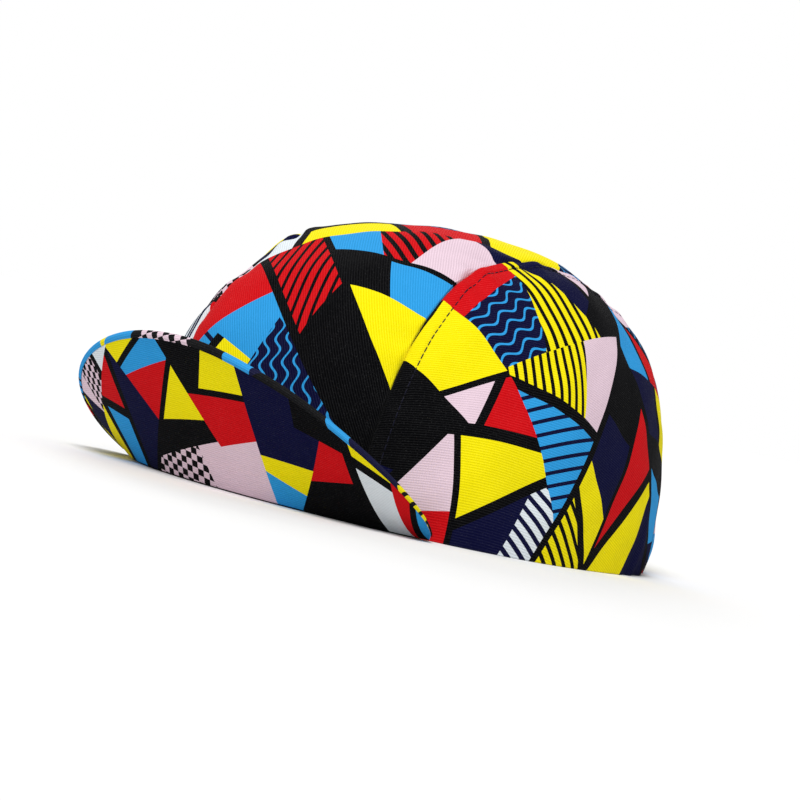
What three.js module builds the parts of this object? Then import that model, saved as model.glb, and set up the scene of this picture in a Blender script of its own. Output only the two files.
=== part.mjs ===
// Cycling cap with its short peak turned up, resting on its rim.
// Millimetres, +Z up, the forehead towards -Y and the wearer's left towards +X.
import * as THREE from 'three';
import { mergeVertices } from 'three/addons/utils/BufferGeometryUtils.js';

// Head opening, measured outside the cloth
const RIM_WIDTH = 164; // across the temples, at the widest place
const RIM_FRONT = 84; // from the widest place to the forehead
const RIM_BACK = 110; // from the widest place to the nape
const RIM_SQUARENESS = 2.06; // exponent of the oval, 2 is an ellipse

// Crown
const CROWN_HEIGHT = 100.5;
const CROWN_LEAN = 8; // how far the top lies behind the widest place
const CROWN_BACK_RISE = 5; // how much higher the shape is over the nape than over the widest place
const CROWN_FULLNESS = { front: 2.45, side: 2.75, back: 2.3 }; // exponents of the profile, more is boxier
const CLOTH = 1.3; // printed cotton with its turned seams
const SEAM_GAP = 0.4; // between two panels

// Centre strip, its widths at the forehead, over the top and at the nape
const STRIP_FRONT_WIDTH = 108;
const STRIP_TOP_WIDTH = 74;
const STRIP_BACK_WIDTH = 68;

// The panels stand out between the seams and the hem
const PUFF_DEPTH = 1.2;
const PUFF_WIDTH = 15; // of cloth beside a seam over which it grows
const PUFF_HEIGHT = 14; // above the hem over which it grows

// Soft dents in the panels, in degrees round the rim from the wearer's left and up from the rim
const DENTS = [
  { place: 'left of the front seam', round: -58, up: 63, reach: 8, depth: 0.9 },
  { place: 'left temple', round: -28, up: 38, reach: 9, depth: 0.6 },
  { place: 'left, above the ear', round: 38, up: 50, reach: 11, depth: 0.7 },
  { place: 'right of the front seam', round: -126, up: 58, reach: 9, depth: 0.8 },
  { place: 'right, above the ear', round: 152, up: 45, reach: 12, depth: 0.6 },
  { place: 'over the forehead', round: -96, up: 48, reach: 10, depth: 0.6 },
  { place: 'back of the head', round: 98, up: 52, reach: 11, depth: 0.8 },
];

// Gathers that the elastic draws into the nape
const GATHER_PITCH = 13;
const GATHER_DEPTH = 1.8;
const GATHER_HEIGHT = 30;
const GATHER_HALF_WIDTH = 46;

// Lining, sweatband and nape elastic, each inside the one before
const LINING = 1.0;
const LINING_GAP = 0.8;
const LINING_LIFT = 1.0; // the lining's hem above the rim
const BAND = 1.5;
const BAND_GAP = 0.6;
const BAND_LIFT = 0.4; // the band's lower edge above the rim
const BAND_FRONT_HEIGHT = 25;
const BAND_SIDE_HEIGHT = 18.5;
const BAND_BACK_HEIGHT = 17;
const ELASTIC = 1.9;
const ELASTIC_HALF_LENGTH = 38; // of the elastic, each way from the nape

// Peak, turned up in front of the crown
const PEAK_LENGTH = 53; // at the middle, along the cloth
const PEAK_TIP_LENGTH = 2.5; // what is left of it at its two ends
const PEAK_HALF_ANGLE = 53; // of its root round the rim, each way from the forehead
const PEAK_FLARE_MIDDLE = 33; // degrees that it stands out from upright
const PEAK_FLARE_ENDS = 60;
const PEAK_ROUNDNESS = 0.73; // exponent of its outline
const PEAK_CLOTH = 1.1; // each of its two stiffened faces
const PEAK_FACE_GAP = 0.3;
const PEAK_EDGE = 0.9; // how far the top face rolls past the under face
const PEAK_ROOT_GAP = 0.4; // from the crown
const PEAK_ROOT_LIFT = 0.4; // above the rim's plane

// How finely each piece is divided, round or across it and up or along it
const GRIDS = {
  side: { columns: 28, rows: 11 },
  strip: { columns: 20, rows: 28 },
  lining: { columns: 60, rows: 11 },
  band: { columns: 60, rows: 3 },
  elastic: { columns: 28, rows: 3 },
  peak: { columns: 30, rows: 6 },
};
const MERGE_WITHIN = 0.001; // vertices closer than this are one
const SOLVER_PASSES = 6;

const COLOURS = {
  navy: 0x14144a,
  yellow: 0xf4e20a,
  red: 0xd01018,
  pink: 0xe3cdd8,
  black: 0x0c0c0e,
  charcoal: 0x1a1a1c,
};

const radians = THREE.MathUtils.degToRad;
const lerp = THREE.MathUtils.lerp;
const forehead = radians(-90);
const nape = radians(90);

// Grows from 0 at the start of a width to 1 at its end, fastest at the start.
function rounded(distance, width) {
  const share = THREE.MathUtils.clamp(distance / width, 0, 1);
  return share * (2 - share);
}

// A direction from the middle of the rim, by its angles round the rim and up from it.
function heading(round, up) {
  const flat = Math.cos(up);
  return new THREE.Vector3(flat * Math.cos(round), flat * Math.sin(round), Math.sin(up));
}

// The oval of the rim, as its radius about the widest place.
function rimRadius(angle, depth) {
  const reach = Math.sin(angle) < 0 ? RIM_FRONT : RIM_BACK;
  const across = Math.abs(Math.cos(angle)) / (RIM_WIDTH / 2 - depth);
  const along = Math.abs(Math.sin(angle)) / (reach - depth);
  return (across ** RIM_SQUARENESS + along ** RIM_SQUARENESS) ** (-1 / RIM_SQUARENESS);
}

// How the shape grows in height from the forehead to the nape, as a factor.
function backRise(y) {
  return 1 + (CROWN_BACK_RISE / CROWN_HEIGHT) * (y / RIM_BACK);
}

// The crown is a leaning superellipsoid that rises towards the back. This is the point, at a depth below
// its outside, that lies in a direction from the middle of the rim.
function crownPoint(direction, depth) {
  const height = CROWN_HEIGHT - depth;
  const y = direction.y - (CROWN_LEAN * direction.z) / height;
  const angle = Math.atan2(y, direction.x);
  const { front, side, back } = CROWN_FULLNESS;
  const fullness = lerp(side, y < 0 ? front : back, Math.sin(angle) ** 2);
  const wide = Math.hypot(direction.x, y) / rimRadius(angle, depth);
  const size = (wide ** fullness + (direction.z / height) ** fullness) ** (-1 / fullness);
  const point = direction.clone().multiplyScalar(size);
  point.z *= backRise(point.y);
  return point;
}

function stripHalfWidth(y) {
  const [end, reach] = y < 0 ? [STRIP_FRONT_WIDTH, RIM_FRONT] : [STRIP_BACK_WIDTH, RIM_BACK];
  return lerp(STRIP_TOP_WIDTH, end, (y / reach) ** 2) / 2;
}

// How far the panels stand out at a point of the crown.
function panelRelief(point) {
  const fromSeam = Math.abs(Math.abs(point.x) - stripHalfWidth(point.y));
  const direction = point.clone().normalize();
  const dent = DENTS.reduce((sum, { round, up, reach, depth }) => {
    const away = direction.angleTo(heading(radians(round), radians(up)));
    return sum + depth * Math.exp(-((away / radians(reach)) ** 2));
  }, 0);
  const puff = rounded(fromSeam, PUFF_WIDTH) * rounded(point.z, PUFF_HEIGHT) * Math.max(0, 1 - dent);
  const arc = Math.atan2(point.x, point.y) * RIM_BACK;
  const aside = Math.max(0, 1 - (arc / GATHER_HALF_WIDTH) ** 2);
  const upward = Math.max(0, 1 - point.z / GATHER_HEIGHT) ** 2;
  const gather = aside * upward * Math.cos((Math.PI * arc) / GATHER_PITCH) ** 2;
  return PUFF_DEPTH * puff + GATHER_DEPTH * gather;
}

function panelPoint(direction, depth) {
  return crownPoint(direction, depth - panelRelief(crownPoint(direction, 0)));
}

// A point of the centre strip: side -1 to 1 across it, angle 0 to pi from the forehead over the top to the
// nape. The inset narrows the strip, or widens it where it is negative.
function stripPoint(side, angle, depth, inset) {
  const direction = new THREE.Vector3(0, -Math.cos(angle), Math.sin(angle));
  for (let pass = 0; pass < SOLVER_PASSES; pass += 1) {
    const point = crownPoint(direction, depth);
    direction.x = (side * (stripHalfWidth(point.y) - inset)) / Math.hypot(point.y, point.z);
  }
  return panelPoint(direction, depth);
}

// One closed wall between two faces of points. pointAt(u, v, face) gives a point, face 0 outside and 1
// inside. A patch has four free edges. A dome is joined all round and closed at its top.
function wall(pointAt, { columns, rows }, isDome = false) {
  const across = isDome ? columns : columns + 1;
  const positions = [];
  for (const face of [0, 1]) {
    for (let j = 0; j <= rows; j += 1) {
      for (let i = 0; i < across; i += 1) positions.push(...pointAt(i / columns, j / rows, face));
    }
  }
  const at = (face, j, i) => (face * (rows + 1) + j) * across + (i % across);
  const index = [];
  const quad = (a, b, c, d) => index.push(a, b, c, a, c, d);
  for (let i = 0; i < columns; i += 1) {
    for (let j = 0; j < rows; j += 1) {
      quad(at(0, j, i), at(0, j, i + 1), at(0, j + 1, i + 1), at(0, j + 1, i));
      quad(at(1, j, i), at(1, j + 1, i), at(1, j + 1, i + 1), at(1, j, i + 1));
    }
    quad(at(1, 0, i), at(1, 0, i + 1), at(0, 0, i + 1), at(0, 0, i));
    if (!isDome) quad(at(0, rows, i), at(0, rows, i + 1), at(1, rows, i + 1), at(1, rows, i));
  }
  for (let j = 0; j < rows && !isDome; j += 1) {
    quad(at(0, j, 0), at(0, j + 1, 0), at(1, j + 1, 0), at(1, j, 0));
    quad(at(1, j, columns), at(1, j + 1, columns), at(0, j + 1, columns), at(0, j, columns));
  }
  return closedGeometry(positions, index);
}

// Merges the vertices that coincide, drops the triangles that vanish with them and turns the faces out.
function closedGeometry(positions, index) {
  const loose = new THREE.BufferGeometry();
  loose.setAttribute('position', new THREE.Float32BufferAttribute(positions, 3));
  loose.setIndex(index);
  const geometry = mergeVertices(loose, MERGE_WITHIN);
  const place = geometry.getAttribute('position');
  const corner = (n) => new THREE.Vector3().fromBufferAttribute(place, n);
  const kept = [];
  let volume = 0;
  for (let n = 0; n < geometry.index.count; n += 3) {
    const [a, b, c] = [0, 1, 2].map((k) => geometry.index.getX(n + k));
    if (a === b || b === c || a === c) continue;
    kept.push([a, b, c]);
    volume += corner(a).dot(corner(b).cross(corner(c)));
  }
  geometry.setIndex(kept.flatMap(([a, b, c]) => (volume > 0 ? [a, b, c] : [a, c, b])));
  geometry.computeVertexNormals();
  return geometry;
}

// A side panel is a patch with four sides: the rim below, and the front, top and back parts of its seam.
const SEAM_PARTS = { front: 0.27, back: 0.73 }; // where the top part begins and ends, as shares of the seam

function sidePanel(hand) {
  const seam = (share, depth) => stripPoint(1, Math.PI * share, depth, -SEAM_GAP / 2);
  const rim = (share, depth) => {
    const [from, to] = [seam(0, depth), seam(1, depth)].map((end) => Math.atan2(end.y, end.x));
    return panelPoint(heading(lerp(from, to, share), 0), depth);
  };
  const inside = (u, v, depth) => {
    const { front, back } = SEAM_PARTS;
    const sides = [
      [1 - v, rim(u, depth)],
      [v, seam(lerp(front, back, u), depth)],
      [1 - u, seam(front * v, depth)],
      [u, seam(lerp(1, back, v), depth)],
    ];
    const corners = [
      [(1 - u) * (1 - v), seam(0, depth)],
      [u * (1 - v), seam(1, depth)],
      [(1 - u) * v, seam(front, depth)],
      [u * v, seam(back, depth)],
    ];
    const mixed = new THREE.Vector3();
    sides.forEach(([weight, point]) => mixed.addScaledVector(point, weight));
    corners.forEach(([weight, point]) => mixed.addScaledVector(point, -weight));
    mixed.z /= backRise(mixed.y);
    return panelPoint(mixed, depth);
  };
  const pointAt = (u, v, face) => {
    const depth = face * CLOTH;
    let point;
    if (v === 0) point = rim(u, depth);
    else if (v === 1) point = seam(lerp(SEAM_PARTS.front, SEAM_PARTS.back, u), depth);
    else if (u === 0) point = seam(SEAM_PARTS.front * v, depth);
    else if (u === 1) point = seam(lerp(1, SEAM_PARTS.back, v), depth);
    else point = inside(u, v, depth);
    return [hand * point.x, point.y, point.z];
  };
  return wall(pointAt, GRIDS.side);
}

function centreStrip() {
  const pointAt = (u, v, face) => stripPoint(lerp(-1, 1, u), Math.PI * v, face * CLOTH, SEAM_GAP / 2);
  return wall(pointAt, GRIDS.strip);
}

// The lining is a whole dome inside the panels, open at the rim.
function lining() {
  const pointAt = (u, v, face) => {
    const depth = CLOTH + LINING_GAP + face * LINING;
    const foot = rimRadius(2 * Math.PI * u, depth);
    const point = crownPoint(heading(2 * Math.PI * u, lerp(Math.atan(LINING_LIFT / foot), nape, v)), depth);
    if (v === 0) point.z = LINING_LIFT;
    return point;
  };
  return wall(pointAt, GRIDS.lining, true);
}

// The sweatband is highest at the forehead and lowest at the nape.
function bandHeight(angle) {
  const end = Math.sin(angle) < 0 ? BAND_FRONT_HEIGHT : BAND_BACK_HEIGHT;
  return lerp(BAND_SIDE_HEIGHT, end, Math.sin(angle) ** 2);
}

// A band inside the lining, from one angle round the rim to another, following the crown's wall.
function innerBand(from, to, thickness, grid) {
  const outside = CLOTH + LINING_GAP + LINING + BAND_GAP;
  const pointAt = (u, v, face) => {
    const angle = lerp(from, to, u);
    const depth = outside + face * thickness;
    const height = lerp(BAND_LIFT, bandHeight(angle), v);
    const direction = heading(angle, Math.atan(height / rimRadius(angle, depth)));
    for (let pass = 0; pass < SOLVER_PASSES; pass += 1) {
      direction.z *= height / crownPoint(direction, depth).z;
    }
    const point = crownPoint(direction, depth);
    point.z = height;
    return point;
  };
  return wall(pointAt, grid);
}

// The elastic takes the band's place at the nape.
const elasticHalfAngle = ELASTIC_HALF_LENGTH / RIM_BACK;
const bandHalfAngle = Math.PI - elasticHalfAngle - SEAM_GAP / RIM_BACK;

function sweatband() {
  return innerBand(forehead - bandHalfAngle, forehead + bandHalfAngle, BAND, GRIDS.band);
}

function napeElastic() {
  return innerBand(nape - elasticHalfAngle, nape + elasticHalfAngle, ELASTIC, GRIDS.elastic);
}

// One face of the peak, between two distances from its inner side. Its root is cut level with the rim, and
// so are its two tips.
function peakFace(inner, outer, extraLength) {
  const pointAt = (u, v, face) => {
    const side = Math.sin(lerp(forehead, nape, u));
    const angle = forehead + side * radians(PEAK_HALF_ANGLE);
    const flare = radians(lerp(PEAK_FLARE_MIDDLE, PEAK_FLARE_ENDS, side ** 2));
    const fullness = Math.max(0, 1 - side ** 2) ** PEAK_ROUNDNESS;
    const length = lerp(PEAK_TIP_LENGTH, PEAK_LENGTH, fullness) + extraLength;
    const through = lerp(outer, inner, face);
    const along = length * v + through * Math.tan(flare) * (1 - v * fullness);
    const radius = rimRadius(angle, 0) + PEAK_ROOT_GAP + Math.sin(flare) * along + Math.cos(flare) * through;
    const point = heading(angle, 0).multiplyScalar(radius);
    point.z = PEAK_ROOT_LIFT + Math.cos(flare) * along - Math.sin(flare) * through;
    return point;
  };
  return wall(pointAt, GRIDS.peak);
}

function piece(name, geometry, color, roughness = 0.85) {
  const material = new THREE.MeshStandardMaterial({ color, roughness, metalness: 0 });
  const mesh = new THREE.Mesh(geometry, material);
  mesh.name = name;
  return mesh;
}

const underFace = PEAK_CLOTH + PEAK_FACE_GAP;
const cap = new THREE.Group();
cap.add(
  piece('crown_left', sidePanel(1), COLOURS.navy),
  piece('crown_right', sidePanel(-1), COLOURS.navy),
  piece('crown_centre', centreStrip(), COLOURS.yellow),
  piece('lining', lining(), COLOURS.charcoal),
  piece('sweatband', sweatband(), COLOURS.black, 0.7),
  piece('nape_elastic', napeElastic(), COLOURS.black, 0.6),
  piece('peak_under', peakFace(underFace, underFace + PEAK_CLOTH, 0), COLOURS.red),
  piece('peak_top', peakFace(0, PEAK_CLOTH, PEAK_EDGE), COLOURS.pink),
);

// The origin is the middle of the cap's footprint, on the surface that it rests on.
const footprint = new THREE.Box3().setFromObject(cap);
const middle = footprint.getCenter(new THREE.Vector3());
cap.position.set(-middle.x, -middle.y, -footprint.min.z);

export default cap;
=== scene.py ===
"""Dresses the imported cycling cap: cloth panels with their seams and gathers, the turned-up peak with its
rolled edge, the lining, the sweatband with the nape's elastic, and the stitches, in procedural materials."""
import math
import random

import bpy
import numpy as np
from mathutils import Matrix, Vector


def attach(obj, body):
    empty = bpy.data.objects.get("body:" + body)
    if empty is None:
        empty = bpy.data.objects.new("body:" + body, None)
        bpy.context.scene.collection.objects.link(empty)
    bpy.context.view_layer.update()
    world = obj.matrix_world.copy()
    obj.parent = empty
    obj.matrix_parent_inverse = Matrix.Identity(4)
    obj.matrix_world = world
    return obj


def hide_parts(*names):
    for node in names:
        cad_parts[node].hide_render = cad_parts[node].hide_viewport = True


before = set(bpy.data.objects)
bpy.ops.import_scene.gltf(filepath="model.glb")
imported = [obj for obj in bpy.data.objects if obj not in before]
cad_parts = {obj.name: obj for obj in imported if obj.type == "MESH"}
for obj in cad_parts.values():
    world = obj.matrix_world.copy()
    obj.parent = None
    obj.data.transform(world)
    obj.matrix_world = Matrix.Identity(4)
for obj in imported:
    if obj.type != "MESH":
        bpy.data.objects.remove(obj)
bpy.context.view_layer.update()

MM_PER_METRE = 1000
QUARTER_TURN = math.pi / 2
FOREHEAD, NAPE = -QUARTER_TURN, QUARTER_TURN  # round the rim, from the wearer's left

# Sizes of the solids, in millimetres and degrees
MIDDLE_Y = 1.502  # how far back the shape is moved, so that the origin is in the middle of its box
RIM_WIDTH, RIM_FRONT, RIM_BACK, RIM_SQUARENESS = 164, 84, 110, 2.06
CROWN_HEIGHT, CROWN_LEAN, CROWN_BACK_RISE = 100.5, 8, 5
FULLNESS_FRONT, FULLNESS_SIDE, FULLNESS_BACK = 2.45, 2.75, 2.3
STRIP_FRONT_WIDTH, STRIP_TOP_WIDTH, STRIP_BACK_WIDTH = 108, 74, 68
PUFF_DEPTH, PUFF_WIDTH, PUFF_HEIGHT = 1.2, 15, 14
DENTS = [  # degrees round from the wearer's left, degrees up, reach in degrees, share of the puff
    (-58, 63, 8, 0.9), (-28, 38, 9, 0.6), (38, 50, 11, 0.7), (-126, 58, 9, 0.8),
    (152, 45, 12, 0.6), (-96, 48, 10, 0.6), (98, 52, 11, 0.8),
]
GATHER_PITCH, GATHER_HEIGHT, GATHER_HALF_WIDTH = 13, 30, 46
LINING_DEPTH, LINING_LIFT = 2.1, 1.0
BAND_DEPTH, BAND_LIFT = 3.7, 0.4
BAND_FRONT_HEIGHT, BAND_SIDE_HEIGHT, BAND_BACK_HEIGHT = 25, 18.5, 17
ELASTIC_HALF_LENGTH = 38
PEAK_LENGTH, PEAK_TIP_LENGTH, PEAK_HALF_ANGLE = 53, 2.5, 53
PEAK_FLARE_MIDDLE, PEAK_FLARE_ENDS, PEAK_ROUNDNESS = 33, 60, 0.73
PEAK_ROOT_LIFT, PEAK_ROOT_GAP = 0.4, 0.15

# The printed cloth's relief, in millimetres
CLOTH = 1.0  # the thickness
DEEPEST = 0.95  # how far in the cloth may sink, so that it stays off the lining
FOLD_WANDER, WANDER_WAVE, WANDER_START = 2.2, 9.5, 1.0  # of the nape's folds, along the rim
FOLD_SLANT, SLANT_WAVE_UP, SLANT_WAVE_ALONG = 1.4, 6, 21
FOLD_REACH, REACH_CHANGE, REACH_WAVE, REACH_START = 1.15, 0.3, 5.3, 0.6  # of GATHER_HEIGHT
GATHER_DEPTH, GATHER_FADE = 2.3, 1.4  # a little deeper than in the solids
FINE_GATHER_DEPTH, FINE_GATHER_PITCH = 0.65, GATHER_PITCH * 0.41
TUCKS_FROM_NAPE, TUCKS_REACH, TUCK_PITCH, TUCK_DEPTH = 84, 34, 17, 1.5  # beside the gathers
TUCK_FADE, TUCK_WANDER = 1.2, 1.5
RIPPLE_SPREAD = (0.75, 1.35)  # of the waves that make up a ripple, as shares of its wavelength
RIPPLES = [(0.6, 42, 3), (0.24, 17, 4)]  # depth, wavelength, seed
RIPPLES_FROM_SEAM, RIPPLES_FROM_RIM = 10, 12
PUCKER_WAVE, PUCKER_SEED, PUCKER_SLANT = 9.5, 5, 0.35
PUCKER_SIDE = 9  # sets the puckers on the two sides of a seam apart
PUCKER_ON_PANEL, PUCKER_ON_STRIP = 12.0, 9.0
PUCKERS_FROM_SEAM, PUCKERS_FROM_RIM = 2.5, 10
SEAM_SLACK, SLACK_REACH = 105, 26  # how far up from its front end a seam's cloth is most puckered
SLACK_LEAST, SLACK_CHANGE = 0.4, 0.6
SEAM_VALLEY, SEAM_VALLEY_WIDTH = 0.75, 1.6
ALLOWANCE = 0.3  # how much the folded seam allowance lifts the cloth between seam and topstitch
ALLOWANCE_RISE, ALLOWANCE_FALL, ALLOWANCE_SHORTER, ALLOWANCE_FROM_RIM = 1.5, 1.6, 0.8, 6
TOPSTITCH_FROM_SEAM = 5.0
CREASE_DEPTH, CREASE_WIDTH, CREASE_FROM_RIM = 0.32, 0.7, 4
STITCH_PITCH = 2.8
STITCH_PULL = 0.25  # how much the crease's depth changes from stitch to stitch

# The meshes' steps, in millimetres
STEP, FINE_STEP, FINE_REACH = 1.3, 0.4, 7.0
NOSE_TURNS = (0, 35, 55, 75)  # degrees round a wall's rounded edge
NOSE_SHARE = 0.96  # of half the cloth, so that the edge keeps a little flat
FAR_FROM_BORDER = 99.0


# The crown's shape

def rounded(distance, width):
    share = np.clip(distance / width, 0, 1)
    return share * (2 - share)


def lerp(a, b, share):
    return a + (b - a) * share


def bell(distance, reach):
    return np.exp(-(distance / reach) ** 2)


def lengths_along(points):
    """The way along a row of points to each of them."""
    return np.concatenate([[0], np.cumsum(np.linalg.norm(np.diff(points, axis=0), axis=1))])


def unit(vectors):
    return vectors / np.linalg.norm(vectors, axis=-1, keepdims=True)


def heading(around, up):
    flat = np.cos(up)
    return np.stack([flat * np.cos(around), flat * np.sin(around), np.sin(up) + 0 * around], -1)


def rim_radius(angle, depth=0.0):
    reach = np.where(np.sin(angle) < 0, RIM_FRONT, RIM_BACK)
    across = np.abs(np.cos(angle)) / (RIM_WIDTH / 2 - depth)
    along = np.abs(np.sin(angle)) / (reach - depth)
    return (across ** RIM_SQUARENESS + along ** RIM_SQUARENESS) ** (-1 / RIM_SQUARENESS)


def back_rise(y):
    return 1 + CROWN_BACK_RISE / CROWN_HEIGHT * y / RIM_BACK


def crown_point(direction, depth=0.0):
    """Where a direction from the rim's middle meets the crown, at a depth below its outside."""
    height = CROWN_HEIGHT - depth
    y = direction[..., 1] - CROWN_LEAN * direction[..., 2] / height
    angle = np.arctan2(y, direction[..., 0])
    end = np.where(y < 0, FULLNESS_FRONT, FULLNESS_BACK)
    fullness = lerp(FULLNESS_SIDE, end, np.sin(angle) ** 2)
    wide = np.hypot(direction[..., 0], y) / rim_radius(angle, depth)
    size = (wide ** fullness + np.maximum(direction[..., 2] / height, 0) ** fullness) ** (-1 / fullness)
    point = direction * size[..., None]
    point[..., 2] *= back_rise(point[..., 1])
    return point


def level(point):
    """A point's direction, with the rise towards the back taken out."""
    direction = np.array(point)
    direction[..., 2] /= back_rise(direction[..., 1])
    return direction


def strip_half_width(y):
    end = np.where(y < 0, STRIP_FRONT_WIDTH, STRIP_BACK_WIDTH)
    reach = np.where(y < 0, RIM_FRONT, RIM_BACK)
    return lerp(STRIP_TOP_WIDTH, end, (y / reach) ** 2) / 2


STRIP_ROUNDS, BAND_ROUNDS = 8, 6  # of the searches for a place on the crown


def strip_direction(side, angle):
    """A direction in the centre strip: side -1 to 1 across it, angle 0 to pi from the front."""
    direction = np.stack([0 * angle, -np.cos(angle), np.sin(angle)], -1)
    for _ in range(STRIP_ROUNDS):
        point = crown_point(direction)
        direction[..., 0] = side * strip_half_width(point[..., 1]) / np.hypot(point[..., 1], point[..., 2])
    return direction


SEAM_POINTS = 900
SEAM = crown_point(strip_direction(np.ones(SEAM_POINTS), np.linspace(0, math.pi, SEAM_POINTS)))
SEAM_LENGTHS = lengths_along(SEAM)
BLOCK = 4000  # points handled together


def seam_distance(point):
    """The way from the nearer seam, positive on the side panels, and the place along it."""
    flat = np.array(point).reshape(-1, 3)
    flat[:, 0] = np.abs(flat[:, 0])
    nearest = np.empty(len(flat), int)
    distance = np.empty(len(flat))
    for start in range(0, len(flat), BLOCK):
        block = slice(start, start + BLOCK)
        away = np.linalg.norm(flat[block][:, None] - SEAM[None], axis=2)
        nearest[block] = away.argmin(1)
        distance[block] = away.min(1)
    sign = np.where(flat[:, 0] > strip_half_width(flat[:, 1]), 1, -1)
    return (sign * distance).reshape(point.shape[:-1]), SEAM_LENGTHS[nearest].reshape(point.shape[:-1])


# The cloth's relief

def ripples(point, wavelength, seed, count=7):
    """Soft irregular waves of about that wavelength, between about -1 and 1."""
    rng = random.Random(seed)
    total = 0
    for _ in range(count):
        direction = np.array([rng.gauss(0, 1) for _ in range(3)])
        direction *= math.tau / (wavelength * rng.uniform(*RIPPLE_SPREAD) * np.linalg.norm(direction))
        total = total + np.sin(point @ direction + rng.uniform(0, math.tau))
    return total / math.sqrt(count)


def dents(point):
    """The share of the puff that each place lacks."""
    direction = unit(point)
    missing = 0
    for around, up, reach, share in DENTS:
        middle = heading(np.radians(around), np.radians(up))
        angle = np.arccos(np.clip(direction @ middle, -1, 1))
        missing = missing + share * bell(angle, math.radians(reach))
    return missing


def nape_folds(point):
    """The upright gathers where the elastic draws the cloth in, and the softer tucks beside them."""
    height = point[..., 2]
    arc = np.arctan2(point[..., 0], point[..., 1]) * RIM_BACK
    wander = (FOLD_WANDER * np.sin(arc / WANDER_WAVE + WANDER_START)
              + FOLD_SLANT * np.sin(height / SLANT_WAVE_UP + arc / SLANT_WAVE_ALONG))
    drawn_in = np.maximum(0, 1 - (arc / GATHER_HALF_WIDTH) ** 2)
    sway = np.sin(arc / REACH_WAVE + REACH_START)
    reach = GATHER_HEIGHT * (FOLD_REACH + REACH_CHANGE * sway)
    fade = np.maximum(0, 1 - height / reach)
    broad = np.cos(math.pi * (arc + wander) / GATHER_PITCH) ** 2
    fine = np.cos(math.pi * (arc - wander) / FINE_GATHER_PITCH) ** 2
    gathers = drawn_in * fade ** GATHER_FADE * (GATHER_DEPTH * broad + FINE_GATHER_DEPTH * fine)
    beside = np.exp(-((np.abs(arc) - TUCKS_FROM_NAPE) / TUCKS_REACH) ** 4) * (1 - drawn_in)
    tuck = np.cos(math.pi * (arc + TUCK_WANDER * wander) / TUCK_PITCH) ** 4
    return gathers, TUCK_DEPTH * beside * fade ** TUCK_FADE * tuck


def seam_puckers(point, away, along):
    """Short creases that run off the seams, deepest where the cloth is slack."""
    distance = np.abs(away)
    side = PUCKER_SIDE * np.sign(away) * np.sign(point[..., 0])
    place = np.stack([along + PUCKER_SLANT * distance, side, 0 * along], -1)
    slack = SLACK_LEAST + SLACK_CHANGE * bell(along - SEAM_SLACK, SLACK_REACH)
    reach = np.where(away > 0, PUCKER_ON_PANEL, PUCKER_ON_STRIP)
    pucker = slack * ripples(place, PUCKER_WAVE, PUCKER_SEED) * bell(distance, reach)
    return pucker * rounded(distance, PUCKERS_FROM_SEAM) * rounded(point[..., 2], PUCKERS_FROM_RIM)


def seam_lines(height, away, along):
    """The valley at a seam, the folded allowance beside it, and the crease under its topstitch."""
    valley = SEAM_VALLEY * np.maximum(0, 1 - np.abs(away) / SEAM_VALLEY_WIDTH) ** 2
    beyond = away - TOPSTITCH_FROM_SEAM
    folded = rounded(away, ALLOWANCE_RISE) * (1 - rounded(beyond + ALLOWANCE_SHORTER, ALLOWANCE_FALL))
    lifted = ALLOWANCE * (folded * (away > 0)) * rounded(height, ALLOWANCE_FROM_RIM)
    beat = 1 - STITCH_PULL + STITCH_PULL * np.cos(math.tau * along / STITCH_PITCH)
    crease = CREASE_DEPTH * bell(beyond, CREASE_WIDTH) * beat
    return valley, lifted, crease * rounded(height, CREASE_FROM_RIM)


def cloth_relief(point):
    """How far the printed cloth stands out from the crown's plain shape."""
    away, along = seam_distance(point)
    distance, height = np.abs(away), point[..., 2]
    puff = PUFF_DEPTH * rounded(distance, PUFF_WIDTH) * rounded(height, PUFF_HEIGHT)
    gathers, tucks = nape_folds(point)
    open_cloth = rounded(distance, RIPPLES_FROM_SEAM) * rounded(height, RIPPLES_FROM_RIM)
    soft = open_cloth * sum(depth * ripples(point, wave, seed) for depth, wave, seed in RIPPLES)
    valley, lifted, crease = seam_lines(height, away, along)
    relief = puff * np.maximum(0, 1 - dents(point)) + gathers + tucks + soft
    relief = relief + seam_puckers(point, away, along) - valley + lifted - crease
    return np.maximum(relief, -DEEPEST)


# Meshes

def spread(length, is_fine=True):
    """Places along a border-to-border length, as shares of it, close together near its ends."""
    radius = CLOTH / 2
    border = [radius * (1 - math.cos(math.radians(turn))) for turn in NOSE_TURNS]
    border += list(np.arange(radius, FINE_REACH, FINE_STEP)) if is_fine else [radius]
    last = border.pop()
    count = max(2, round((length - 2 * last) / STEP))
    middle = np.linspace(last, length - last, count + 1)
    return np.concatenate([border, middle, [length - place for place in border[::-1]]]) / length


def bullnose(distance, radius):
    """How far a wall's faces fall in towards each other at that distance from its edge."""
    inside = np.clip(radius - distance, 0, radius)
    return radius - np.sqrt(radius ** 2 - inside ** 2)


def new_object(name, data):
    obj = bpy.data.objects.new(name, data)
    bpy.context.scene.collection.objects.link(obj)
    return obj


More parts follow.
